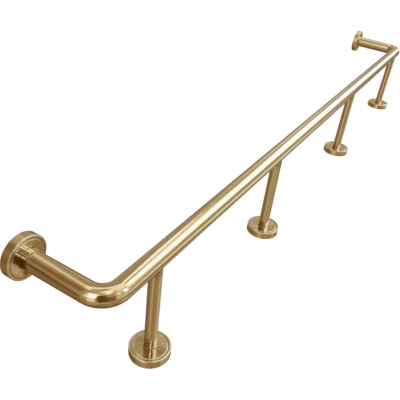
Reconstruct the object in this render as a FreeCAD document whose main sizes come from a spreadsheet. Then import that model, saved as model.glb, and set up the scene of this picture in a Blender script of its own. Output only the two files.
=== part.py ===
import FreeCAD, Part
import math
import os

import Sketcher

# Bar foot rail: a bent tube on four legs, held to the floor and to the wall by round
# plates with socket collars. Loose cup covers slide along the tubes and hide the plates.
# Frame: +X along the rail, +Y towards the wall, +Z up, floor at Z = 0. The origin is
# under the middle of the whole object's box. Millimetres.

V = FreeCAD.Vector
doc = FreeCAD.newDocument("bar_foot_rail")
sheet = doc.addObject("Spreadsheet::Sheet", "Dimensions")

DIMENSIONS = [
    # the bent rail
    ("rail_od", 38.0, "rail tube, outer diameter"),
    ("rail_wall", 1.5, "rail tube, wall thickness"),
    ("rail_span", 1850.0, "between the centre lines of the two arms"),
    ("rail_height", 232.0, "floor to the rail's centre line"),
    ("wall_offset", 179.0, "wall to the rail's centre line"),
    ("bend_radius", 36.0, "centre line radius of both bends"),
    ("wall_plane", 110.0, "Y of the wall in the object's frame"),
    # legs, measured from the left arm's centre line
    ("leg_od", 25.0, "leg tube, outer diameter"),
    ("leg_wall", 1.5, "leg tube, wall thickness"),
    ("leg_one_at", 129.0, "first leg"),
    ("leg_two_at", 632.0, "second leg"),
    ("leg_three_at", 1233.5, "third leg"),
    ("leg_four_at", 1800.0, "fourth leg"),
    # cup covers
    ("cover_od", 82.0, "cover, outer diameter"),
    ("cover_depth", 17.5, "cover, height of the band"),
    ("cover_sheet", 1.2, "cover, sheet thickness"),
    ("cover_gap", 0.3, "cover, radial clearance round its tube"),
    ("edge_round", 2.0, "cover, outer radius of the edge"),
    ("bore_round", 1.0, "cover, radius of the lip round the tube"),
    ("groove_inner", 33.2, "cover, inner radius of the pressed groove"),
    ("groove_outer", 36.8, "cover, outer radius of the pressed groove"),
    ("groove_depth", 0.7, "cover, depth of the pressed groove"),
    # base plates under the covers
    ("plate_od", 79.0, "base plate, outer diameter"),
    ("plate_thick", 4.0, "base plate, thickness"),
    ("socket_floor", 1.5, "base plate, metal left under the tube"),
    ("socket_gap", 0.1, "base plate, radial clearance in the socket"),
    ("collar_top", 14.5, "base plate, height of the collar"),
    ("floor_collar_od", 35.0, "collar round a leg, outer diameter"),
    ("wall_collar_od", 48.0, "collar round an arm, outer diameter"),
    ("bolt_circle", 62.0, "pitch circle of the screw holes"),
    ("bolt_hole", 5.5, "screw hole, diameter"),
    ("countersink", 10.4, "screw hole, countersink diameter"),
    # M5 grub screws in the collars
    ("grub_od", 5.0, "grub screw, thread diameter"),
    ("grub_long", 5.0, "grub screw, length"),
    ("grub_level", 9.5, "grub screw, height over the plate's back"),
    ("grub_key", 2.5, "grub screw, hexagon across flats"),
    ("grub_key_deep", 2.2, "grub screw, depth of the hexagon"),
    # joint between leg and rail
    ("plug_long", 15.0, "leg plug, length under the rail"),
    ("plug_bore", 8.5, "leg plug, clearance hole"),
    ("plug_recess", 14.0, "leg plug, recess for the nut's flange"),
    ("plug_recess_deep", 1.0, "leg plug, depth of that recess"),
    ("nut_flange_od", 13.0, "rivet nut, flange diameter"),
    ("nut_flange_thick", 0.8, "rivet nut, flange thickness"),
    ("nut_body_od", 11.0, "rivet nut, body diameter"),
    ("nut_long", 16.0, "rivet nut, length"),
    ("nut_bulge_od", 14.0, "rivet nut, set bulge diameter"),
    ("nut_bulge_from", 3.8, "rivet nut, start of the bulge"),
    ("nut_bulge_long", 3.0, "rivet nut, length of the bulge"),
    ("screw_od", 8.0, "leg screw, thread diameter"),
    ("screw_long", 30.0, "leg screw, length under the head"),
    ("screw_head_od", 13.0, "leg screw, head diameter"),
    ("screw_head_long", 8.0, "leg screw, head height"),
    ("screw_key", 6.0, "leg screw, hexagon across flats"),
    ("screw_key_deep", 4.0, "leg screw, depth of the hexagon"),
    ("washer_od", 16.0, "washer, outer diameter"),
    ("washer_hole", 8.4, "washer, hole"),
    ("washer_thick", 1.6, "washer, thickness"),
]


class Size:
    """A length together with the sheet formula that drives it."""

    def __init__(self, value, formula):
        self.value, self.formula = float(value), formula

    def _with(self, other, sign, turned=False):
        if not isinstance(other, Size):
            other = Size(other, "%.9g" % other)
        a, b = (other, self) if turned else (self, other)
        value = {
            "+": lambda: a.value + b.value,
            "-": lambda: a.value - b.value,
            "*": lambda: a.value * b.value,
            "/": lambda: a.value / b.value,
        }[sign]()
        return Size(value, "(%s %s %s)" % (a.formula, sign, b.formula))

    def __add__(self, other):
        return self._with(other, "+")

    def __radd__(self, other):
        return self._with(other, "+", True)

    def __sub__(self, other):
        return self._with(other, "-")

    def __rsub__(self, other):
        return self._with(other, "-", True)

    def __mul__(self, other):
        return self._with(other, "*")

    def __rmul__(self, other):
        return self._with(other, "*", True)

    def __truediv__(self, other):
        return self._with(other, "/")

    def __neg__(self):
        return self._with(0.0, "-", True)


class Sizes:
    pass


d = Sizes()
for row, (alias, value, meaning) in enumerate(DIMENSIONS, start=1):
    sheet.set("A%d" % row, alias)
    sheet.set("B%d" % row, "%g" % value)
    sheet.set("C%d" % row, meaning)
    sheet.setAlias("B%d" % row, alias)
    setattr(d, alias, Size(value, "Dimensions." + alias))
doc.recompute()

ZERO = Size(0.0, "0")
rail_y = d.wall_plane - d.wall_offset
left_x = -(d.rail_span / 2)
right_x = d.rail_span / 2
leg_x = [left_x + s for s in (d.leg_one_at, d.leg_two_at, d.leg_three_at, d.leg_four_at)]
rail_low = d.rail_height - d.rail_od / 2


# ---------------------------------------------------------------- helpers


def bind(obj, prop, size):
    """Drives a property of obj from the sheet."""
    if isinstance(size, Size):
        obj.setExpression(prop, size.formula)
    else:
        obj.setExpression(prop, "%.9g" % size)


def place(obj, x=ZERO, y=ZERO, z=ZERO, rotation=None):
    """Puts obj at a position bound to the sheet, with a fixed rotation."""
    obj.Placement = FreeCAD.Placement(
        V(x.value, y.value, z.value), rotation or FreeCAD.Rotation()
    )
    for name, size in (("x", x), ("y", y), ("z", z)):
        if size is not ZERO:
            bind(obj, "Placement.Base." + name, size)
    return obj


def body(label):
    b = doc.addObject("PartDesign::Body", label)
    b.Label = label
    return b


def sketch(owner, name, role, lift=None):
    """A sketch on one of the body's own origin planes, moved along its normal by lift."""
    s = owner.newObject("Sketcher::SketchObject", name)
    plane = [f for f in owner.Origin.OriginFeatures if f.Role == role][0]
    s.AttachmentSupport = [(plane, "")]
    s.MapMode = "FlatFace"
    if lift is not None:
        s.AttachmentOffset = FreeCAD.Placement(
            V(0, 0, lift.value), FreeCAD.Rotation()
        )
        bind(s, "AttachmentOffset.Base.z", lift)
    return s


def constrain(s, kind, *what, size=None):
    """Adds a constraint. With a size it is a dimension bound to the sheet."""
    if size is None:
        return s.addConstraint(Sketcher.Constraint(kind, *what))
    n = s.addConstraint(Sketcher.Constraint(kind, *what, size.value))
    name = "size_%d" % n
    s.renameConstraint(n, name)
    s.setExpression("Constraints." + name, size.formula)
    return n


def pin_point(s, geo, pos, x, y):
    """Fixes one sketch point at x, y from the sketch's origin."""
    if abs(x.value) < 1e-9:
        constrain(s, "PointOnObject", geo, pos, -2)
    else:
        constrain(s, "DistanceX", -1, 1, geo, pos, size=x)
    if abs(y.value) < 1e-9:
        constrain(s, "PointOnObject", geo, pos, -1)
    else:
        constrain(s, "DistanceY", -1, 1, geo, pos, size=y)


def circle(s, x, y, diameter):
    geo = s.addGeometry(
        Part.Circle(V(x.value, y.value, 0), V(0, 0, 1), diameter.value / 2), False
    )
    pin_point(s, geo, 3, x, y)
    constrain(s, "Diameter", geo, size=diameter)
    return geo


def outline(s, points):
    """A closed outline. Each entry is (x, y) or (x, y, radius, bulge): the last two make
    the edge to the next point an arc, bulging left (+1) or right (-1) of its direction."""
    n = len(points)
    geos = []
    for i, p in enumerate(points):
        q = points[(i + 1) % n]
        a = V(p[0].value, p[1].value, 0)
        b = V(q[0].value, q[1].value, 0)
        if len(p) == 4:
            chord = b - a
            half = chord.Length / 2
            r = p[2].value
            rise = r - math.sqrt(max(r * r - half * half, 0.0))
            left = V(-chord.y, chord.x, 0) / chord.Length
            middle = (a + b) / 2 + left * (rise * p[3])
            geos.append(s.addGeometry(Part.Arc(a, middle, b), False))
        else:
            geos.append(s.addGeometry(Part.LineSegment(a, b), False))
    ends = []
    for i, p in enumerate(points):
        if len(p) == 4:  # a sketch runs its arcs anticlockwise, so the ends are read back
            start = s.getPoint(geos[i], 1)
            same = (start - V(p[0].value, p[1].value, 0)).Length < 1e-6
            ends.append((1, 2) if same else (2, 1))
        else:
            ends.append((1, 2))
    for i, p in enumerate(points):
        constrain(
            s, "Coincident", geos[i], ends[i][1], geos[(i + 1) % n], ends[(i + 1) % n][0]
        )
        pin_point(s, geos[i], ends[i][0], p[0], p[1])
        if len(p) == 4:
            constrain(s, "Radius", geos[i], size=p[2])
    return geos


def revolve(owner, s):
    f = owner.newObject("PartDesign::Revolution", "Turned")
    f.Profile = s
    f.ReferenceAxis = (s, ["V_Axis"])
    f.Angle = 360
    s.Visibility = False
    return f


def pad(owner, name, s, length):
    f = owner.newObject("PartDesign::Pad", name)
    f.Profile = s
    f.Length = length.value
    bind(f, "Length", length)
    return f


def pocket(owner, name, s, length=None, symmetric=False, turned=False):
    f = owner.newObject("PartDesign::Pocket", name)
    f.Profile = s
    if length is None:
        f.Type = "ThroughAll"
    else:
        f.Length = length.value
        bind(f, "Length", length)
    if symmetric:
        f.SideType = "Symmetric"
    f.Reversed = turned
    return f


def cylinder(name, diameter, height, x, y, z, rotation=None):
    c = doc.addObject("Part::Cylinder", name)
    bind(c, "Radius", diameter / 2)
    bind(c, "Height", height)
    return place(c, x, y, z, rotation)


def hexagon(name, across_flats, depth, x, y, z, rotation=None):
    p = doc.addObject("Part::Prism", name)
    p.Polygon = 6
    bind(p, "Circumradius", across_flats / math.sqrt(3.0))
    bind(p, "Height", depth)
    return place(p, x, y, z, rotation)


def cut(name, base, tool):
    c = doc.addObject("Part::Cut", name)
    c.Base, c.Tool = base, tool
    return c


def fuse(name, *shapes):
    f = doc.addObject("Part::MultiFuse", name)
    f.Shapes = list(shapes)
    f.Refine = True
    return f


def group(label, solids):
    g = doc.addObject("Part::Compound", label)
    g.Label = label
    g.Links = solids
    return g


NODES = []
ONE_SOLID = 1


def keep(obj, solids=ONE_SOLID):
    NODES.append((obj, solids))
    return obj


# ---------------------------------------------------------------- rail tube

# The body's own frame has its origin midway between the arms' ends, on the rail's level.
rail = body("rail_tube")
place(rail, ZERO, d.wall_plane - d.socket_floor, d.rail_height)
reach = -(d.wall_offset - d.socket_floor)  # the long run's centre line, from the ends

path = sketch(rail, "CentreLine", "XY_Plane")
r = d.bend_radius
x0, x1, y1, rb = left_x.value, right_x.value, reach.value, r.value
arm_a = path.addGeometry(Part.LineSegment(V(x0, 0, 0), V(x0, y1 + rb, 0)), False)
bend_a = path.addGeometry(
    Part.ArcOfCircle(
        Part.Circle(V(x0 + rb, y1 + rb, 0), V(0, 0, 1), rb), math.pi, 1.5 * math.pi
    ),
    False,
)
run = path.addGeometry(Part.LineSegment(V(x0 + rb, y1, 0), V(x1 - rb, y1, 0)), False)
bend_b = path.addGeometry(
    Part.ArcOfCircle(
        Part.Circle(V(x1 - rb, y1 + rb, 0), V(0, 0, 1), rb), 1.5 * math.pi, 2 * math.pi
    ),
    False,
)
arm_b = path.addGeometry(Part.LineSegment(V(x1, y1 + rb, 0), V(x1, 0, 0)), False)
constrain(path, "Tangent", arm_a, 2, bend_a, 1)
constrain(path, "Tangent", bend_a, 2, run, 1)
constrain(path, "Tangent", run, 2, bend_b, 1)
constrain(path, "Tangent", bend_b, 2, arm_b, 1)
constrain(path, "Vertical", arm_a)
constrain(path, "Horizontal", run)
constrain(path, "Vertical", arm_b)
constrain(path, "Radius", bend_a, size=r)
constrain(path, "Equal", bend_a, bend_b)
pin_point(path, arm_a, 1, left_x, ZERO)
pin_point(path, arm_b, 2, right_x, ZERO)
constrain(path, "DistanceY", -1, 1, run, 1, size=reach)

section = sketch(rail, "TubeSection", "XZ_Plane")
circle(section, left_x, ZERO, d.rail_od)
circle(section, left_x, ZERO, d.rail_od - 2 * d.rail_wall)
doc.recompute()

tube = rail.newObject("PartDesign::AdditivePipe", "BentTube")
tube.Profile = section
tube.Spine = (path, [])
tube.Mode = "Standard"
doc.recompute()

nut_holes = sketch(rail, "NutHoles", "XY_Plane")
for x in leg_x:
    circle(nut_holes, x, reach, d.nut_body_od)
drilled = pocket(rail, "DrilledFromBelow", nut_holes, d.rail_od / 2 + 1.0)
rail.Tip = drilled
doc.recompute()
keep(rail)


# ---------------------------------------------------------------- legs


def cope(owner, name):
    """Cuts the top of a leg piece to the rail's round underside."""
    s = sketch(owner, name + "Section", "YZ_Plane")
    circle(s, ZERO, d.rail_height, d.rail_od)
    return pocket(owner, name, s, symmetric=True)


for number, x in enumerate(leg_x, start=1):
    leg = body("leg_tube_%d" % number)
    place(leg, x, rail_y, ZERO)
    s = sketch(leg, "LegSection", "XY_Plane", d.socket_floor)
    circle(s, ZERO, ZERO, d.leg_od)
    circle(s, ZERO, ZERO, d.leg_od - 2 * d.leg_wall)
    pad(leg, "LegTube", s, d.rail_height - d.socket_floor)
    doc.recompute()
    leg.Tip = cope(leg, "Cope")
    doc.recompute()
    keep(leg)

    plug = body("leg_plug_%d" % number)
    place(plug, x, rail_y, ZERO)
    s = sketch(plug, "PlugSection", "XY_Plane", rail_low - d.plug_long)
    circle(s, ZERO, ZERO, d.leg_od - 2 * d.leg_wall)
    circle(s, ZERO, ZERO, d.plug_bore)
    pad(plug, "PlugBlank", s, d.plug_long + d.rail_od / 2)
    doc.recompute()
    cope(plug, "Cope")
    s = sketch(plug, "RecessSection", "XY_Plane", rail_low - d.plug_recess_deep)
    circle(s, ZERO, ZERO, d.plug_recess)
    plug.Tip = pocket(plug, "FlangeRecess", s, d.rail_od / 2, turned=True)
    doc.recompute()
    keep(plug)


# ---------------------------------------------------------------- base plates


def base_plate(label, collar_od, tube_od):
    """A disc with a socket collar, screw holes and two grub screw holes. Its own frame
    has the plate's back at Z = 0 and the tube's axis along +Z."""
    b = body(label)
    bore = tube_od / 2 + d.socket_gap
    s = sketch(b, "PlateSection", "XZ_Plane")
    outline(
        s,
        [
            (ZERO, ZERO),
            (d.plate_od / 2, ZERO),
            (d.plate_od / 2, d.plate_thick),
            (collar_od / 2, d.plate_thick),
            (collar_od / 2, d.collar_top),
            (bore, d.collar_top),
            (bore, d.socket_floor),
            (ZERO, d.socket_floor),
        ],
    )
    revolve(b, s)
    doc.recompute()

    s = sketch(b, "ScrewHoleCentre", "XY_Plane", d.plate_thick)
    half = d.bolt_circle / 2 * math.sqrt(0.5)
    circle(s, half, half, d.bolt_hole)
    doc.recompute()
    hole = b.newObject("PartDesign::Hole", "ScrewHole")
    hole.Profile = s
    doc.recompute()
    hole.ThreadType = "None"
    hole.Threaded = False
    hole.DepthType = "ThroughAll"
    bind(hole, "Diameter", d.bolt_hole)
    hole.HoleCutType = "Countersink"
    hole.HoleCutCustomValues = True
    bind(hole, "HoleCutDiameter", d.countersink)
    hole.HoleCutCountersinkAngle = 90
    doc.recompute()
    z_axis = [f for f in b.Origin.OriginFeatures if f.Role == "Z_Axis"][0]
    ring = b.newObject("PartDesign::PolarPattern", "ScrewHoles")
    ring.Originals = [hole]
    ring.Axis = (z_axis, [""])
    ring.Angle = 360
    ring.Occurrences = 3
    b.Tip = ring
    doc.recompute()

    s = sketch(b, "GrubHoleSection", "YZ_Plane")
    circle(s, ZERO, d.grub_level, d.grub_od)
    grub = pocket(b, "GrubHole", s, collar_od / 2 + 1.0, turned=True)
    doc.recompute()
    pair = b.newObject("PartDesign::PolarPattern", "GrubHoles")
    pair.Originals = [grub]
    pair.Axis = (z_axis, [""])
    pair.Angle = 90
    pair.Occurrences = 2
    b.Tip = pair
    doc.recompute()
    return b


TURN_Z = FreeCAD.Rotation(V(0, 0, 1), 45)  # puts the grub screws on the wall side
OUT_OF_WALL = FreeCAD.Rotation(V(1, 0, 0), 90)  # own +Z becomes -Y
ARMS = (("left", left_x), ("right", right_x))

for number, x in enumerate(leg_x, start=1):
    b = base_plate("floor_base_plate_%d" % number, d.floor_collar_od, d.leg_od)
    keep(place(b, x, rail_y, ZERO, TURN_Z))
for side, x in ARMS:
    b = base_plate("wall_base_plate_" + side, d.wall_collar_od, d.rail_od)
    keep(place(b, x, d.wall_plane, d.rail_height, OUT_OF_WALL * TURN_Z))


# ---------------------------------------------------------------- covers


def cup_cover(label, tube_od):
    """A pressed cup with a rounded edge and lip and a shallow ring groove in its face. Its own
    frame has the open side at Z = 0 and the face at the top."""
    b = body(label)
    outer = d.cover_od / 2
    inner = outer - d.cover_sheet
    top = d.cover_depth
    under = top - d.cover_sheet
    flat_to = outer - d.edge_round
    shoulder = top - d.edge_round
    inner_round = d.edge_round - d.cover_sheet
    half = (d.groove_outer - d.groove_inner) / 2
    sweep = (half * half + d.groove_depth * d.groove_depth) / (2 * d.groove_depth)
    bore = tube_od / 2 + d.cover_gap
    s = sketch(b, "CupSection", "XZ_Plane")
    outline(
        s,
        [
            (bore, under),
            (bore, top - d.bore_round, d.bore_round, 1),
            (bore + d.bore_round, top),
            (d.groove_inner, top, sweep, -1),
            (d.groove_outer, top),
            (flat_to, top, d.edge_round, 1),
            (outer, shoulder),
            (outer, ZERO),
            (inner, ZERO),
            (inner, shoulder, inner_round, -1),
            (flat_to, under),
            (d.groove_outer, under, sweep, 1),
            (d.groove_inner, under),
        ],
    )
    b.Tip = revolve(b, s)
    doc.recompute()
    return b


for number, x in enumerate(leg_x, start=1):
    keep(place(cup_cover("floor_cover_%d" % number, d.leg_od), x, rail_y, ZERO))
for side, x in ARMS:
    b = cup_cover("wall_cover_" + side, d.rail_od)
    keep(place(b, x, d.wall_plane, d.rail_height, OUT_OF_WALL))


# ---------------------------------------------------------------- leg to rail joint

seat = rail_low - d.plug_long  # the plug's lower face, where the washer sits
head_under = seat - d.washer_thick
flange_low = rail_low - d.nut_flange_thick
nuts, screws, washers = [], [], []
for number, x in enumerate(leg_x, start=1):
    n = str(number)
    disc = cylinder(
        "NutFlangeBlank" + n, d.nut_flange_od, d.nut_flange_thick + 4.0, x, rail_y, flange_low
    )
    around = cylinder(
        "RailRound" + n,
        d.rail_od,
        Size(60.0, "60"),
        x - 30.0,
        rail_y,
        d.rail_height,
        FreeCAD.Rotation(V(0, 1, 0), 90),
    )
    flange = cut("NutFlange" + n, disc, around)
    shank = cylinder("NutBody" + n, d.nut_body_od, d.nut_long, x, rail_y, flange_low)
    bulge = cylinder(
        "NutBulge" + n, d.nut_bulge_od, d.nut_bulge_long, x, rail_y, flange_low + d.nut_bulge_from
    )
    thread = cylinder("NutThread" + n, d.screw_od, d.nut_long, x, rail_y, flange_low)
    nuts.append(cut("RivetNut" + n, fuse("NutBlank" + n, flange, shank, bulge), thread))

    head = cylinder(
        "ScrewHead" + n, d.screw_head_od, d.screw_head_long, x, rail_y, head_under - d.screw_head_long
    )
    stem = cylinder("ScrewStem" + n, d.screw_od, d.screw_long, x, rail_y, head_under)
    key = hexagon(
        "ScrewKey" + n, d.screw_key, d.screw_key_deep, x, rail_y, head_under - d.screw_head_long
    )
    screws.append(cut("LegScrew" + n, fuse("ScrewBlank" + n, head, stem), key))

    ring = cylinder("WasherRing" + n, d.washer_od, d.washer_thick, x, rail_y, head_under)
    eye = cylinder("WasherEye" + n, d.washer_hole, d.washer_thick, x, rail_y, head_under)
    washers.append(cut("Washer" + n, ring, eye))

keep(group("rail_rivet_nuts", nuts), 4)
keep(group("leg_screws", screws), 4)
keep(group("leg_washers", washers), 4)


# ---------------------------------------------------------------- grub screws


def grub_screw(name, direction, start):
    """A grub screw whose point is at start and whose key end points along direction."""
    turn = FreeCAD.Rotation(V(0, 0, 1), direction)
    rod = cylinder("GrubRod" + name, d.grub_od, d.grub_long, *start, turn)
    out = d.grub_long - d.grub_key_deep
    mouth = [p + out * c for p, c in zip(start, direction)]
    key = hexagon("GrubKey" + name, d.grub_key, d.grub_key_deep, *mouth, turn)
    return cut("Grub" + name, rod, key)


floor_grubs, wall_grubs = [], []
for number, x in enumerate(leg_x, start=1):
    for letter, angle in (("a", 45.0), ("b", 135.0)):
        c, s = math.cos(math.radians(angle)), math.sin(math.radians(angle))
        at = [x + d.leg_od / 2 * c, rail_y + d.leg_od / 2 * s, d.grub_level]
        floor_grubs.append(grub_screw("Floor%d%s" % (number, letter), V(c, s, 0), at))
for side, x in ARMS:
    for letter, angle in (("a", 45.0), ("b", 135.0)):
        c, s = math.cos(math.radians(angle)), math.sin(math.radians(angle))
        at = [
            x + d.rail_od / 2 * c,
            d.wall_plane - d.grub_level,
            d.rail_height + d.rail_od / 2 * s,
        ]
        wall_grubs.append(grub_screw("Wall_%s_%s" % (side, letter), V(c, 0, s), at))
keep(group("floor_grub_screws", floor_grubs), 8)
keep(group("wall_grub_screws", wall_grubs), 4)


# ---------------------------------------------------------------- checks and export

doc.recompute()
for obj in doc.Objects:
    bad = [state for state in obj.State if state in ("Invalid", "Error")]
    if bad:
        raise RuntimeError("%s is %s" % (obj.Name, ", ".join(bad)))
for obj in doc.Objects:
    if obj.TypeId == "Sketcher::SketchObject" and not obj.FullyConstrained:
        raise RuntimeError("sketch %s of %s is not fully constrained" % (obj.Name, obj.getParentGeoFeatureGroup().Label))

# volumes that show that every pocket and groove has cut what it should
run_length = (
    2 * (d.wall_offset.value - d.socket_floor.value - d.bend_radius.value)
    + math.pi * d.bend_radius.value
    + d.rail_span.value
    - 2 * d.bend_radius.value
)
ro, ri = d.rail_od.value / 2, d.rail_od.value / 2 - d.rail_wall.value
plain_rail = math.pi * (ro * ro - ri * ri) * run_length
lost = plain_rail - rail.Shape.Volume
one_hole = math.pi * (d.nut_body_od.value / 2) ** 2 * d.rail_wall.value
if not 0.95 * 4 * one_hole < lost < 1.15 * 4 * one_hole:
    raise RuntimeError("the rail's nut holes took %.1f mm3" % lost)

os.makedirs("parts", exist_ok=True)
labels = set()
for obj, solids in NODES:
    shape = obj.Shape
    if shape.isNull() or not shape.isValid():
        raise RuntimeError("%s has no valid shape" % obj.Label)
    if len(shape.Solids) != solids:
        raise RuntimeError("%s has %d solids, not %d" % (obj.Label, len(shape.Solids), solids))
    if obj.Label in labels:
        raise RuntimeError("two sub-parts are called %s" % obj.Label)
    labels.add(obj.Label)
    box = shape.BoundBox
    print(
        "%-24s %2d solid(s) %11.1f mm3  x %8.2f %8.2f  y %8.2f %8.2f  z %7.2f %7.2f"
        % (obj.Label, solids, shape.Volume, box.XMin, box.XMax, box.YMin, box.YMax, box.ZMin, box.ZMax)
    )
for obj, solids in NODES:
    obj.Shape.exportStep("parts/%s.step" % obj.Label)
print("%d nodes written" % len(NODES))
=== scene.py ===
import bpy
import math

from mathutils import Matrix, Vector


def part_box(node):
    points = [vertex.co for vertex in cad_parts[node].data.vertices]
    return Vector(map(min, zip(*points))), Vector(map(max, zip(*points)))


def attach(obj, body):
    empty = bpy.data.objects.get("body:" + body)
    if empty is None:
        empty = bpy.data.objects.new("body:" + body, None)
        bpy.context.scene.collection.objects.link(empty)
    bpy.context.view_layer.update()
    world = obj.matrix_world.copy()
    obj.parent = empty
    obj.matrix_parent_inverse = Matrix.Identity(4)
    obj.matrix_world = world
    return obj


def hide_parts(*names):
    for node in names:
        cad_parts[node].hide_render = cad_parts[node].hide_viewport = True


# Bar foot rail, brushed brass. The tubes and the cup covers are built here as dense
# meshes of the CAD's size, with the cups' rims rounded a little wider than in the CAD;
# plates, screws and plugs keep their CAD meshes.
# Metres, in the CAD's frame.

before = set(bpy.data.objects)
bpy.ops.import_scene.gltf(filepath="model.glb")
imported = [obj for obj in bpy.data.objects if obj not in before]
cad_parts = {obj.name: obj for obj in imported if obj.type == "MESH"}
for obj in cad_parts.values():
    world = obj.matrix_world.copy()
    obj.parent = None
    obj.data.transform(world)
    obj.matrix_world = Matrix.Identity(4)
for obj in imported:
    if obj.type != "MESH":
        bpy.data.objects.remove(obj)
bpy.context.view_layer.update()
scene = bpy.context.scene
scene.view_settings.view_transform = "Standard"

# ------------------------------------------------------------------ sizes

WALL_Y = 0.110          # the wall's plane
RAIL_Y = -0.069         # centre line of the long run
RAIL_Z = 0.232
ARM_X = 0.925           # centre lines of the two arms
BEND = 0.036            # centre line radius of the bends
RAIL_R = 0.019
LEG_R = 0.0125
WALL_THICK = 0.0015
SOCKET_FLOOR = 0.0015
LEG_X = [sum(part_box("leg_tube_%d" % n)[k][0] for k in (0, 1)) / 2 for n in (1, 2, 3, 4)]

COVER_R = 0.041
COVER_TOP = 0.0175
COVER_SHEET = 0.0012
COVER_GAP = 0.0003
EDGE_ROUND = 0.0020
GROOVE = (0.0332, 0.0368, 0.0007)   # inner radius, outer radius, depth
BORE_ROUND = 0.0010

# ------------------------------------------------------------------ camera


def make_camera():
    """A pinhole camera on the left, above the wall end, looking along the rail."""
    az, el, roll = 1.0883, 0.5781, 0.1269
    forward = Vector(
        (math.sin(az) * math.cos(el), math.cos(az) * math.cos(el), -math.sin(el))
    )
    level = forward.cross(Vector((0, 0, 1))).normalized()
    upright = level.cross(forward)
    right = math.cos(roll) * level + math.sin(roll) * upright
    up = -math.sin(roll) * level + math.cos(roll) * upright
    data = bpy.data.cameras.new("camera")
    data.sensor_width = 36.0
    data.lens = 505.2583 * 36.0 / 400.0
    data.clip_start, data.clip_end = 0.05, 100.0
    cam = bpy.data.objects.new("camera", data)
    m = Matrix((right, up, -forward)).transposed().to_4x4()
    m.translation = Vector((-1.3443926, -0.4232362, 0.7834814))
    cam.matrix_world = m
    scene.collection.objects.link(cam)
    scene.camera = cam
    return cam


make_camera()

# ------------------------------------------------------------------ node helpers


class Tree:
    """Short calls for building a node tree."""

    def __init__(self, tree):
        self.tree = tree
        tree.nodes.clear()
        self.count = 0

    def node(self, kind, inputs=None, **props):
        n = self.tree.nodes.new(kind)
        n.location = (220 * (self.count % 12), -260 * (self.count // 12))
        self.count += 1
        for k, v in props.items():
            setattr(n, k, v)
        for k, v in (inputs or {}).items():
            self.put(n.inputs[k], v)
        return n

    def put(self, socket, value):
        if isinstance(value, bpy.types.NodeSocket):
            self.tree.links.new(value, socket)
        elif isinstance(value, bpy.types.Node):
            self.tree.links.new(value.outputs[0], socket)
        else:
            socket.default_value = value

    def math(self, operation, a, b=0.0, c=0.0, clamp=False):
        n = self.node("ShaderNodeMath", {0: a, 1: b, 2: c}, operation=operation)
        n.use_clamp = clamp
        return n.outputs[0]

    def vmath(self, operation, a, b=(0.0, 0.0, 0.0)):
        n = self.node("ShaderNodeVectorMath", {0: a, 1: b}, operation=operation)
        return n.outputs["Value"] if operation in ("DOT_PRODUCT", "LENGTH") else n.outputs[0]

    def span(self, value, low, high, to_low=0.0, to_high=1.0, smooth=True):
        """value from low..high to to_low..to_high, held at both ends."""
        n = self.node(
            "ShaderNodeMapRange",
            {"Value": value, "From Min": low, "From Max": high, "To Min": to_low, "To Max": to_high},
        )
        n.interpolation_type = "SMOOTHSTEP" if smooth else "LINEAR"
        return n.outputs["Result"]

    def noise(self, vector, scale, detail=2.0, rough=0.5, dim="3D"):
        n = self.node(
            "ShaderNodeTexNoise",
            {"Vector": vector, "Scale": scale, "Detail": detail, "Roughness": rough},
            noise_dimensions=dim,
        )
        return n.outputs["Fac"]

    def mix(self, factor, a, b, blend="MIX"):
        n = self.node("ShaderNodeMix", data_type="RGBA", blend_type=blend)
        self.put(n.inputs[0], factor)
        self.put(n.inputs[6], a)
        self.put(n.inputs[7], b)
        return n.outputs[2]


def direction(az, el):
    """Unit vector: azimuth 0 along +Y, 90 along +X, elevation up, degrees."""
    a, e = math.radians(az), math.radians(el)
    return Vector((math.sin(a) * math.cos(e), math.cos(a) * math.cos(e), math.sin(e)))


# ------------------------------------------------------------------ studio

BRASS = (0.84, 0.53, 0.26)
TONE = (0.817, 0.538, 0.261)    # the same brass as it looks in the shade, a little greener
DEEP = (1.06, 0.90, 0.80)       # and what a second surface takes off besides

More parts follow.
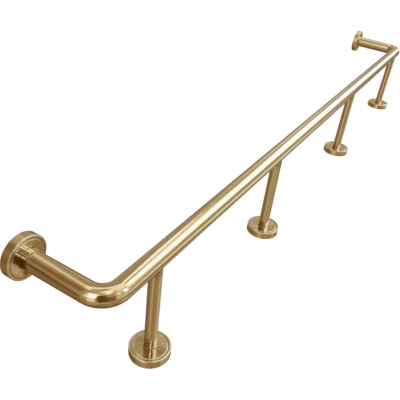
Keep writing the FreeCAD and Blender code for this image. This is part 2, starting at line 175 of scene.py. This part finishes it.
# Soft boxes: name, azimuth, elevation, width, height, turn, soft edge (degrees), strength, tint.
# Later ones lie over earlier ones. Strengths are as a film camera meets them: make_world
# rolls them off, so that a bright box turns brass cream and a dim one leaves it brown.
BOXES = [
    ("ahead", 62, -14, 36, 38, 0, 10, 0.26, (1.0, 1.0, 1.0)),
    ("floor_ahead", 60, -46, 64, 44, 0, 14, 0.15, (1.0, 1.0, 0.97)),
    ("floor_low", 70, -80, 92, 72, 40, 14, 0.19, (1.0, 1.0, 0.97)),
    ("ceiling", 182, 79, 104, 47, -5, 10, 0.9, (1.0, 1.0, 0.96)),
    ("overhead", -108, 66, 72, 20, 6, 6, 0.48, (1.04, 1.0, 0.92)),
    ("zenith", 0, 86.5, 36, 13, 0, 5, 0.38, (1.02, 1.0, 0.85)),
    ("zenith_left", -52, 62, 34, 22, 20, 7, 0.40, (1.04, 1.0, 0.92)),
    ("overhead_right", 180, 78.5, 32, 9, 0, 4, 2.8, (1.12, 1.0, 0.74)),
    ("overhead_far", 131, 61, 24, 7, 81, 4, 2.0, (1.10, 1.0, 0.78)),
    ("overhead_back", -158.5, 65, 22, 12, -73, 5, 3.2, (1.08, 1.0, 0.80)),
    ("ridge_left", -3, 67.5, 27, 8, -8, 5, 2.2, (1.2, 1.0, 0.72)),
    ("ridge", 60, 64, 32, 5.5, -34.5, 3, 3.2, (1.2, 1.0, 0.72)),
    ("ceiling_right", 107, 65, 62, 18, -13, 4, 1.5, (1.0, 1.0, 0.96)),
    ("glow", 161, 27, 33, 50, -42, 8, 0.72, (1.0, 1.0, 1.0)),
    ("glow_top", 158, 50, 16, 12, 0, 6, 1.1, (1.0, 1.0, 0.97)),
    ("right_window", 155, 23, 15, 27, 9, 6, 6.0, (1.08, 1.0, 0.84)),
    ("back_glow", 163, -5, 30, 24, 0, 8, 0.64, (0.93, 1.0, 1.03)),
    ("ripple_dark", 165, 20, 9, 26, -8, 5, 0.50, (1.0, 1.0, 1.0)),
    ("ripple", 179, 30, 9, 15, -8, 5, 2.0, (1.12, 1.0, 0.85)),
    ("back_glow_left", -178, 3, 15, 28, 0, 6, 0.74, (1.06, 1.0, 0.92)),
    ("back_shade", -148, -4, 36, 56, 0, 10, 0.20, (1.0, 1.0, 0.85)),
    ("dark_back", -127, 9, 30, 78, -6, 8, 0.135, (0.96, 1.0, 0.74)),
    ("dark_wall", -32, 8, 50, 86, -6, 7, 0.22, (1.05, 1.02, 0.93)),
    ("left_side", -78, 22, 12, 38, 6, 6, 0.95, (1.05, 1.0, 0.92)),
    ("left_window", -94.5, 31, 23, 38, 0, 6, 7.0, (1.0, 0.98, 0.84)),
    ("left_sill", -95, -10, 22, 38, -3, 7, 1.15, (1.06, 1.0, 0.95)),
    ("low_left", -100, -38, 34, 36, 5, 8, 0.40, (1.04, 1.0, 0.96)),
    ("low_mid", -64, -54, 24, 22, 0, 10, 0.29, (1.0, 1.0, 0.97)),
    ("low_back", -146, -52, 40, 34, 18, 9, 0.30, (1.04, 1.0, 0.95)),
    ("low_back_top", -150, -30, 56, 10, 0, 5, 0.45, (1.04, 1.0, 0.95)),
    ("low_back_far", -145, -20, 38, 8, 0, 5, 0.32, (1.02, 1.0, 0.95)),
    ("leg_mid", -130, -42.5, 22, 6, 0, 4, 0.19, (1.04, 1.0, 0.95)),
    ("low_side", 155, -46, 24, 28, 4, 8, 0.46, (1.0, 1.0, 0.97)),
    ("low_front_left", -19, -28, 49, 33, 34, 8, 0.24, (0.97, 1.0, 1.0)),
    ("low_right", 129, -15, 32, 14, 12, 9, 1.1, (1.0, 1.0, 0.97)),
    ("face_low", 139.5, -38.5, 11, 9, 0, 4, 0.27, (1.04, 1.0, 0.92)),
    ("low_front", 111, -45, 70, 10, -16, 6, 0.52, (1.0, 1.0, 1.0)),
    ("far_dark", 104, -9, 12, 12, 0, 6, 0.235, (1.0, 1.0, 1.0)),
    ("small_patch", 67, 21, 13, 23, -3, 14, 0.80, (0.98, 1.0, 1.0)),
    ("face", 50, 51, 16, 14, 0, 6, 0.335, (1.03, 1.0, 0.92)),
    ("arm_strip", 18, 54, 50, 5, -38, 4, 1.1, (1.03, 1.0, 0.93)),
    ("arm_line", -55, 15.4, 3.4, 34, -28, 3, 0.36, (1.02, 1.0, 0.95)),
    ("arm_dark", -56.5, -4.6, 4.3, 28, -14, 3, 0.11, (1.05, 1.0, 0.94)),
    ("dark_line", 104, 52, 55, 4, -20, 3, 0.19, (1.0, 1.0, 1.0)),
    ("gap", 75, 35, 20, 6, 25, 5, 0.42, (1.0, 1.0, 1.0)),
    ("second", 76, 48.5, 30, 5.5, 40, 4, 5.0, (1.08, 1.0, 0.76)),
    ("key", 112.5, 29, 40, 29, 30, 10, 10.0, (1.08, 1.0, 0.66)),
    ("key_foot", 103, 13, 14, 12, 20, 6, 3.6, (1.07, 1.0, 0.76)),
]

# What a second reflection meets instead, laid over the first list: the legs' feet and the
# wall cups mirror each other, and there the same room looks crisper and darker.
AGAIN = [
    ("low_dark", -143, -27, 36, 62, 0, 8, 0.055, (1.0, 1.0, 1.0)),
    ("low_dark_right", -172, -48, 36, 26, 0, 8, 0.15, (1.0, 1.0, 1.0)),
    ("between", -84, 45, 42, 44, 0, 7, 0.21, (1.0, 1.0, 1.0)),
    ("between_low", -120, 26, 54, 24, 0, 8, 0.19, (1.0, 1.0, 1.0)),
    ("wall_side", -10, 49, 46, 22, 0, 7, 0.12, (1.0, 1.0, 1.0)),
    ("wall_side_low", -48, 28, 28, 28, 0, 7, 0.095, (1.0, 1.0, 1.0)),
    ("back_top", -172, 57, 30, 28, 0, 6, 0.18, (1.0, 1.0, 1.0)),
    ("streak_left", -137.5, 52.5, 18, 12, 0, 5, 8.0, (1.05, 1.0, 1.0)),
    ("streak_right", 152, 44, 46, 11, -22, 5, 8.0, (1.05, 1.0, 1.0)),
    ("streak_low", -172, 27, 26, 26, 0, 6, 8.0, (1.0, 1.0, 1.0)),
    ("back_mid", -153.5, 42, 15, 30, 0, 5, 0.12, (1.0, 1.0, 1.0)),
    ("face_again", 142.5, 41, 9, 8, 0, 4, 0.30, (1.0, 1.0, 1.0)),
    ("spot", -135, 25, 10, 11, 0, 4, 10.0, (1.0, 1.0, 1.0)),
    ("front_low", 5, -37, 50, 16, 0, 6, 1.6, (1.0, 1.0, 1.0)),
    ("front_low_right", 55, -37, 45, 14, 0, 8, 0.9, (1.0, 1.0, 1.0)),
    ("right_low", 127, -14, 14, 32, 0, 6, 2.0, (1.0, 1.0, 1.0)),
]


def make_world():
    world = bpy.data.worlds.new("studio")
    scene.world = world
    world.use_nodes = True
    world.cycles.sampling_method = "NONE"   # every ray that gets here then carries its own depth
    t = Tree(world.node_tree)
    co = t.node("ShaderNodeTexCoord").outputs["Generated"]
    up = t.node("ShaderNodeSeparateXYZ", {0: co}).outputs["Z"]
    low = t.span(up, -1.0, 0.0, 0.20, 0.37)
    base = t.math("SUBTRACT", low, t.span(up, 0.0, 1.0, 0.0, 0.06))
    colour = t.node("ShaderNodeCombineColor", {0: base, 1: base, 2: base}).outputs[0]
    ray = t.node("ShaderNodeLightPath")
    # a ray that has met one surface arrives here with a depth of 2
    bounces = t.math("MINIMUM", t.math("MAXIMUM", t.math("SUBTRACT", ray.outputs["Ray Depth"], 1.0), 1.0), 3.0)
    again = t.math("SUBTRACT", bounces, 1.0)
    twice = t.math("MINIMUM", again, 1.0)
    for name, az, el, wide, high, turn, soft, strength, tint in BOXES + AGAIN:
        c = direction(az, el)
        side = c.cross(Vector((0, 0, 1))).normalized()
        upright = side.cross(c)
        r = math.radians(turn)
        u = math.cos(r) * side + math.sin(r) * upright
        v = -math.sin(r) * side + math.cos(r) * upright
        depth = t.vmath("DOT_PRODUCT", co, tuple(c))
        safe = t.math("MAXIMUM", depth, 0.02)
        mask = t.span(depth, 0.02, 0.06)
        for axis, size in ((u, wide), (v, high)):
            off = t.math("ABSOLUTE", t.math("DIVIDE", t.vmath("DOT_PRODUCT", co, tuple(axis)), safe))
            edge = math.tan(math.radians(size / 2))
            ramp = math.tan(math.radians(soft / 2))
            mask = t.math("MULTIPLY", mask, t.span(off, edge - ramp, edge + ramp, 1.0, 0.0))
        if (name, az, el, wide, high, turn, soft, strength, tint) in AGAIN:
            mask = t.math("MULTIPLY", mask, twice)
        colour = t.mix(mask, colour, tuple(x * strength for x in tint) + (1.0,))
    parts = t.node("ShaderNodeSeparateColor", {0: colour})
    # a second and third surface dims bright places most; dim places come out browner
    level = parts.outputs[1]
    loss = t.math("POWER", t.span(level, 0.10, 0.60, 1.0, 0.50), again)
    left = t.math("MULTIPLY", level, loss)
    depth = t.math("ADD", t.span(left, 0.06, 0.385, 1.75, 1.0), t.math("MULTIPLY", again, 0.32))
    rolled = []
    for k in range(3):
        tinted = t.math("POWER", BRASS[k], bounces)
        browned = t.math("MULTIPLY", t.math("POWER", TONE[k], depth), t.math("MULTIPLY", loss, t.math("POWER", DEEP[k], again)))
        y = t.math("POWER", t.math("DIVIDE", t.math("MULTIPLY", parts.outputs[k], browned), 0.47), 1.36)
        rolled.append(t.math("DIVIDE", t.math("DIVIDE", y, t.math("ADD", y, 1.0)), tinted))
    colour = t.node("ShaderNodeCombineColor", {0: rolled[0], 1: rolled[1], 2: rolled[2]}).outputs[0]
    seen = t.node("ShaderNodeBackground", {"Color": (1.0, 1.0, 1.0, 1.0), "Strength": 1.0})
    dome = t.node("ShaderNodeBackground", {"Color": (1.0, 1.0, 1.0, 1.0), "Strength": 0.2})
    room = t.node("ShaderNodeBackground", {"Color": colour, "Strength": 1.0})
    pick = t.node("ShaderNodeMixShader", {0: ray.outputs["Is Diffuse Ray"], 1: room.outputs[0], 2: dome.outputs[0]})
    pick = t.node("ShaderNodeMixShader", {0: ray.outputs["Is Camera Ray"], 1: pick.outputs[0], 2: seen.outputs[0]})
    t.node("ShaderNodeOutputWorld", {"Surface": pick.outputs[0]})


def make_floor():
    """A plain pale floor, wide enough for every view."""
    side = 30.0
    mesh = bpy.data.meshes.new("floor")
    mesh.from_pydata(
        [(-side, -side, -0.0006), (side, -side, -0.0006), (side, side, -0.0006), (-side, side, -0.0006)],
        [],
        [(0, 1, 2, 3)],
    )
    floor = bpy.data.objects.new("floor", mesh)
    scene.collection.objects.link(floor)
    mat = bpy.data.materials.new("floor_white")
    mat.use_nodes = True
    t = Tree(mat.node_tree)
    lit = t.node("ShaderNodeBsdfDiffuse", {"Color": (0.80, 0.80, 0.80, 1.0)})
    glow = t.node("ShaderNodeEmission", {"Color": (1.0, 1.0, 1.0, 1.0), "Strength": 0.88})
    both = t.node("ShaderNodeAddShader", {0: lit.outputs[0], 1: glow.outputs[0]})
    t.node("ShaderNodeOutputMaterial", {"Surface": both.outputs[0]})
    mesh.materials.append(mat)
    floor.visible_glossy = False


make_world()
make_floor()

# ------------------------------------------------------------------ materials


def metal(name, colour, stretch, grain, painted_rim_highlight=None, painted_shade_under_rail=None, painted_fan_streaks=None):
    """A metal with fine grain. stretch is how much wider a reflection smears across the
    grain than along it. grain(tree) gives (tint factor, roughness, bump height) sockets.
    The last three give a paler colour painted along edges as a highlight line, two heights between
    which the metal is darkened as painted shade, and (how fine, darkest, lightest) for painted reflections: streaks
    that run out from the turning axis."""
    mat = bpy.data.materials.new(name)
    mat.use_nodes = True
    t = Tree(mat.node_tree)
    tint, rough, height = grain(t)
    deep = tuple(c * k for c, k in zip(colour, (0.93, 0.91, 0.86)))
    pale = tuple(min(1.0, c * k) for c, k in zip(colour, (1.04, 1.05, 1.08)))
    shade = t.mix(tint, deep + (1.0,), pale + (1.0,))
    # painted reflections: lighter and darker streaks that run out from the turning axis, multiplied into the colour
    if painted_fan_streaks:
        turn = t.node("ShaderNodeAttribute", attribute_name="skin", attribute_type="GEOMETRY").outputs["Vector"]
        streak = t.noise(t.vmath("MULTIPLY", turn, (painted_fan_streaks[0], painted_fan_streaks[0], 1.5)), 1.0, 3.0, 0.6)
        dark = t.span(streak, 0.32, 0.68, painted_fan_streaks[1], painted_fan_streaks[2])
        shade = t.mix(1.0, shade, t.node("ShaderNodeCombineColor", {0: dark, 1: t.math("POWER", dark, 1.2), 2: t.math("POWER", dark, 1.5)}).outputs[0], "MULTIPLY")
    if painted_rim_highlight:
        # the edge attribute paints light: above 0 a paler colour as a highlight line, below 0 a dark brown as shade
        # in the groove; either way the metal gets rougher
        painted_light_and_shade = t.node("ShaderNodeAttribute", attribute_name="edge", attribute_type="GEOMETRY").outputs["Fac"]
        shade = t.mix(t.math("MAXIMUM", painted_light_and_shade, 0.0), shade, painted_rim_highlight + (1.0,))
        shade = t.mix(t.math("MAXIMUM", t.math("MULTIPLY", painted_light_and_shade, -1.0), 0.0), shade, (0.46, 0.24, 0.09, 1.0))
        rough = t.math("ADD", rough, t.math("MULTIPLY", t.math("ABSOLUTE", painted_light_and_shade), 0.24))
    # painted shade: the metal darkens between two heights, at a leg's top just under the rail
    if painted_shade_under_rail:
        where = t.node("ShaderNodeAttribute", attribute_name="skin", attribute_type="GEOMETRY")
        height_up = t.node("ShaderNodeSeparateXYZ", {0: where.outputs["Vector"]}).outputs["Z"]
        dark = t.span(height_up, painted_shade_under_rail[0], painted_shade_under_rail[1], 1.0, painted_shade_under_rail[2])
        shade = t.mix(1.0, shade, t.node("ShaderNodeCombineColor", {0: dark, 1: t.math("POWER", dark, 1.25), 2: t.math("POWER", dark, 1.6)}).outputs[0], "MULTIPLY")
    bump = t.node("ShaderNodeBump", {"Strength": 1.0, "Distance": 1.0, "Height": height})
    shader = t.node(
        "ShaderNodeBsdfPrincipled",
        {"Base Color": shade, "Metallic": 1.0, "Roughness": rough, "Normal": bump.outputs[0]},
    )
    if stretch:
        shader.inputs["Anisotropic"].default_value = stretch
        across = t.node("ShaderNodeAttribute", attribute_name="across", attribute_type="GEOMETRY")
        t.put(shader.inputs["Tangent"], across.outputs["Vector"])
    t.node("ShaderNodeOutputMaterial", {"Surface": shader.outputs[0]})
    return mat


def brushed(period, low, high, depth):
    """Fine lines round a turned surface. skin is (cos, sin, length across the lines)."""

    def grain(t):
        skin = t.node("ShaderNodeAttribute", attribute_name="skin", attribute_type="GEOMETRY").outputs["Vector"]
        lines = t.noise(t.vmath("MULTIPLY", skin, (0.7, 0.7, 1.0 / period)), 1.0, 3.0, 0.6)
        wear = t.noise(t.vmath("MULTIPLY", skin, (1.6, 1.6, 30.0)), 1.0, 3.0, 0.55)
        rough = t.math("ADD", t.span(lines, 0.3, 0.7, low, high), t.span(wear, 0.35, 0.75, 0.0, 0.03))
        height = t.math("MULTIPLY", lines, depth)
        rings = t.span(t.noise(t.vmath("MULTIPLY", skin, (0.9, 0.9, 240.0)), 1.0, 2.0, 0.5), 0.3, 0.7)
        tint = t.math("ADD", t.math("MULTIPLY", wear, 0.4), t.math("MULTIPLY", rings, 0.6), clamp=True)
        return tint, rough, height

    return grain


def turned_grain(scale):
    def grain(t):
        co = t.node("ShaderNodeTexCoord").outputs["Object"]
        lines = t.noise(t.vmath("MULTIPLY", co, (scale, scale, scale * 3)), 1.0, 4.0, 0.6)
        soft = t.noise(t.vmath("MULTIPLY", co, (60.0, 60.0, 60.0)), 1.0, 2.0, 0.5)
        rough = t.span(lines, 0.3, 0.7, 0.33, 0.45)
        height = t.math("MULTIPLY", lines, 0.000006)
        return soft, rough, height

    return grain


TUBE = metal("tube_brass_polished", BRASS, 0.93, brushed(0.0011, 0.06, 0.085, 0.0000002))
# the legs' tops are darkened towards the rail: painted shade under the rail
LEG = metal("leg_brass_polished", (0.88, 0.56, 0.28), 1.0, brushed(0.0011, 0.12, 0.14, 0.0000002), painted_shade_under_rail=(0.188, 0.213, 0.66))
# the cups' faces carry painted fan reflections: lighter and darker streaks out from the axis
# the cups' rims are painted paler as a highlight line, and the grooves' outer sides dark as shade
COVER = metal("cover_brass_turned", (0.865, 0.53, 0.26), 1.0, brushed(0.0008, 0.118, 0.13, 0.0000001), painted_rim_highlight=(1.0, 0.69, 0.35), painted_fan_streaks=(4.5, 0.86, 1.07))
# the room is tuned for brass and turns a neutral metal blue, so these are warmed a little
STEEL = metal("plate_steel_turned", (0.62, 0.56, 0.45), 0.0, turned_grain(900.0))
ALUMINIUM = metal("plug_aluminium_turned", (0.78, 0.72, 0.60), 0.0, turned_grain(700.0))
ZINC = metal("fastener_zinc", (0.64, 0.58, 0.48), 0.0, turned_grain(400.0))

# ------------------------------------------------------------------ meshes


def make_object(name, verts, faces, skin, across, material, smooth=True):
    mesh = bpy.data.meshes.new(name)
    mesh.from_pydata(verts, [], faces)
    mesh.polygons.foreach_set("use_smooth", [smooth] * len(mesh.polygons))
    a = mesh.attributes.new("skin", "FLOAT_VECTOR", "POINT")
    a.data.foreach_set("vector", [c for s in skin for c in s])
    a = mesh.attributes.new("across", "FLOAT_VECTOR", "POINT")
    a.data.foreach_set("vector", [c for s in across for c in s])
    mesh.materials.append(material)
    mesh.validate()
    obj = bpy.data.objects.new(name, mesh)
    scene.collection.objects.link(obj)
    return obj


def sweep_loops(rings, closed_rings=True):
    """Quads between rings of equal length. The last ring joins the first if closed."""
    faces = []
    n = len(rings[0])
    count = len(rings)
    for i in range(count if closed_rings else count - 1):
        a, b = rings[i], rings[(i + 1) % count]
        for k in range(n):
            m = (k + 1) % n
            faces.append((a[k], a[m], b[m], b[k]))
    return faces


def rail_path():
    """Centre points and tangents of the bent rail, from the left arm's end to the right's."""
    points = []
    start = WALL_Y - SOCKET_FLOOR
    bend_y = RAIL_Y + BEND
    straight = 30
    for i in range(straight + 1):
        y = start + (bend_y - start) * i / straight
        points.append((Vector((-ARM_X, y, RAIL_Z)), Vector((0, -1, 0))))
    steps = 40
    for i in range(1, steps + 1):
        a = math.pi / 2 * i / steps
        p = Vector((-ARM_X + BEND - BEND * math.cos(a), bend_y - BEND * math.sin(a), RAIL_Z))
        points.append((p, Vector((math.sin(a), -math.cos(a), 0))))
    run = 260
    half = ARM_X - BEND
    for i in range(1, run + 1):
        points.append((Vector((-half + 2 * half * i / run, RAIL_Y, RAIL_Z)), Vector((1, 0, 0))))
    for i in range(1, steps + 1):
        a = math.pi / 2 * i / steps
        p = Vector((half + BEND * math.sin(a), bend_y - BEND * math.cos(a), RAIL_Z))
        points.append((p, Vector((math.cos(a), math.sin(a), 0))))
    for i in range(1, straight + 1):
        y = bend_y + (start - bend_y) * i / straight
        points.append((Vector((ARM_X, y, RAIL_Z)), Vector((0, 1, 0))))
    return points


def make_rail(around=112):
    path = rail_path()
    verts, skin, across, outer, inner = [], [], [], [], []
    along = 0.0
    last = path[0][0]
    for p, tangent in path:
        along += (p - last).length
        last = p
        side = tangent.cross(Vector((0, 0, 1)))
        for rings, radius in ((outer, RAIL_R), (inner, RAIL_R - WALL_THICK)):
            ring = []
            for k in range(around):
                f = 2 * math.pi * k / around
                ring.append(len(verts))
                verts.append(p + radius * (math.cos(f) * side + math.sin(f) * Vector((0, 0, 1))))
                skin.append((math.cos(f), math.sin(f), along))
                across.append(tangent)
            rings.append(ring)
    rings = outer + inner[::-1]
    obj = make_object("rail_tube_look", verts, sweep_loops(rings), skin, across, TUBE)
    sharpen(obj, [outer[0], outer[-1], inner[0], inner[-1]])
    return obj


def sharpen(obj, rings):
    """Marks the edges of these vertex rings sharp."""
    want = set()
    for ring in rings:
        for k in range(len(ring)):
            want.add(frozenset((ring[k], ring[(k + 1) % len(ring)])))
    sharp = [frozenset(e.vertices) in want for e in obj.data.edges]
    a = obj.data.attributes.get("sharp_edge") or obj.data.attributes.new("sharp_edge", "BOOLEAN", "EDGE")
    a.data.foreach_set("value", sharp)


def make_leg(name, x, around=96, levels=60):
    """An upright tube whose top is coped to the rail's round underside."""
    verts, skin, across, outer, inner = [], [], [], [], []
    low = SOCKET_FLOOR
    for i in range(levels + 1):
        for rings, radius in ((outer, LEG_R), (inner, LEG_R - WALL_THICK)):
            ring = []
            for k in range(around):
                f = 2 * math.pi * k / around
                dy = radius * math.sin(f)
                top = RAIL_Z - math.sqrt(RAIL_R ** 2 - dy ** 2)
                z = low + (top - low) * i / levels
                ring.append(len(verts))
                verts.append(Vector((x + radius * math.cos(f), RAIL_Y + dy, z)))
                skin.append((math.cos(f), math.sin(f), z))
                across.append((0.0, 0.0, 1.0))
            rings.append(ring)
    rings = outer + inner[::-1]
    faces = [tuple(reversed(q)) for q in sweep_loops(rings)]
    obj = make_object(name, verts, faces, skin, across, LEG)
    sharpen(obj, [outer[0], outer[-1], inner[0], inner[-1]])
    return obj


def arc(centre, radius, start, end, steps):
    return [
        (centre[0] + radius * math.cos(a), centre[1] + radius * math.sin(a))
        for a in (start + (end - start) * i / steps for i in range(steps + 1))
    ]


def groove_points(level, steps=14):
    inner, outer, deep = GROOVE
    half = (outer - inner) / 2
    r = (half * half + deep * deep) / (2 * deep)
    a = math.asin(half / r)
    middle = (inner + outer) / 2
    return [
        (middle + r * math.sin(-a + 2 * a * i / steps), level + (r - deep) - r * math.cos(-a + 2 * a * i / steps))
        for i in range(steps + 1)
    ]


def cover_profile(bore):
    """Closed outline of the cup's section, and the points where its edges are sharp."""
    top, under = COVER_TOP, COVER_TOP - COVER_SHEET
    flat_to = COVER_R - EDGE_ROUND
    shoulder = top - EDGE_ROUND
    pts, sharp = [], []

    def add(points, corner=False):
        for p in points:
            if pts and math.dist(pts[-1], p) < 1e-9:
                continue
            pts.append(p)
        if corner:
            sharp.append(len(pts) - 1)

    flat_from = bore + BORE_ROUND
    add([(bore, top - BORE_ROUND)])
    add(arc((flat_from, top - BORE_ROUND), BORE_ROUND, math.pi, math.pi / 2, 10))
    add([(flat_from + (GROOVE[0] - flat_from) * i / 8, top) for i in range(1, 9)], True)
    add(groove_points(top), True)
    add([(COVER_R - 0.0034, top)])
    add([(COVER_R - 0.0034 + 0.0034 * math.sin(a), top - EDGE_ROUND + EDGE_ROUND * math.cos(a)) for a in (math.pi / 2 * i / 24 for i in range(25))])
    add([(COVER_R, shoulder * (1 - i / 8)) for i in range(1, 9)], True)
    add([(COVER_R - COVER_SHEET, 0.0)], True)
    add([(COVER_R - COVER_SHEET, shoulder * i / 4) for i in range(1, 5)])
    add(arc((flat_to, shoulder), EDGE_ROUND - COVER_SHEET, 0, math.pi / 2, 8))
    add(groove_points(under)[::-1])
    add([(bore, under)], True)
    return pts, sharp


def make_cover(name, bore, place, around=200):
    pts, sharp = cover_profile(bore)
    verts, skin, across, rings, edge = [], [], [], [], []
    length = 0.0
    shoulder = COVER_TOP - EDGE_ROUND
    for i, (r, z) in enumerate(pts):
        if i:
            length += math.dist(pts[i], pts[i - 1])
        before, after = pts[i - 1], pts[(i + 1) % len(pts)]
        lie = Vector((after[0] - before[0], after[1] - before[1])).normalized()
        # painted light: paler, as highlight lines, on the rounded rim, the groove's inner side and the bore's lip;
        # the groove's outer side is dull, painted shade
        painted_light_and_shade = 0.0
        middle = (GROOVE[0] + GROOVE[1]) / 2
        if z > shoulder and r > COVER_R - 0.0030:
            painted_light_and_shade = 1.0
        elif z > COVER_TOP - GROOVE[2] - 0.0001 and GROOVE[0] - 0.0001 < r < GROOVE[1] + 0.0001:
            painted_light_and_shade = 0.7 if r < middle - 0.0003 else -0.8
        elif z > COVER_TOP - BORE_ROUND and r < bore + BORE_ROUND:
            painted_light_and_shade = 0.8
        ring = []
        for k in range(around):
            f = 2 * math.pi * k / around
            ring.append(len(verts))
            edge.append(painted_light_and_shade)
            verts.append(place @ Vector((r * math.cos(f), r * math.sin(f), z)))
            skin.append((math.cos(f), math.sin(f), length))
            across.append(place.to_3x3() @ Vector((lie.x * math.cos(f), lie.x * math.sin(f), lie.y)))
        rings.append(ring)
    faces = sweep_loops(rings)
    obj = make_object(name, verts, faces, skin, across, COVER)
    # the edge attribute holds the painted highlight and shade of each ring
    a = obj.data.attributes.new("edge", "FLOAT", "POINT")
    a.data.foreach_set("value", edge)
    sharpen(obj, [rings[i] for i in sharp])
    return obj


def outward(obj):
    """Turns the faces outward and checks the mesh is closed."""
    import bmesh

    bm = bmesh.new()
    bm.from_mesh(obj.data)
    bmesh.ops.recalc_face_normals(bm, faces=bm.faces)
    if any(not e.is_manifold for e in bm.edges):
        raise ValueError(obj.name + " isn't closed")
    if bm.calc_volume(signed=True) < 0:
        bmesh.ops.reverse_faces(bm, faces=bm.faces)
    bm.to_mesh(obj.data)
    bm.free()


rail = make_rail()
outward(rail)
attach(rail, "frame")
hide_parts("rail_tube")

for n, x in enumerate(LEG_X, start=1):
    leg = make_leg("leg_tube_%d_look" % n, x)
    outward(leg)
    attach(leg, "frame")
    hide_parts("leg_tube_%d" % n)
    cover = make_cover(
        "floor_cover_%d_look" % n, LEG_R + COVER_GAP, Matrix.Translation((x, RAIL_Y, 0.0))
    )
    outward(cover)
    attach(cover, "floor_cover_%d" % n)
    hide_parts("floor_cover_%d" % n)

for side, x in (("left", -ARM_X), ("right", ARM_X)):
    # the cup's own Z points out of the wall, along -Y
    place = Matrix.Translation((x, WALL_Y, RAIL_Z)) @ Matrix.Rotation(math.pi / 2, 4, "X")
    cover = make_cover("wall_cover_%s_look" % side, RAIL_R + COVER_GAP, place)
    outward(cover)
    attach(cover, "wall_cover_" + side)
    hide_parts("wall_cover_" + side)

# ------------------------------------------------------------------ CAD nodes that stay

for name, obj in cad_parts.items():
    if obj.hide_render:
        continue
    if "base_plate" in name:
        mat = STEEL
    elif "plug" in name:
        mat = ALUMINIUM
    else:
        mat = ZINC
    for k in range(len(obj.data.materials)):
        obj.data.materials[k] = mat
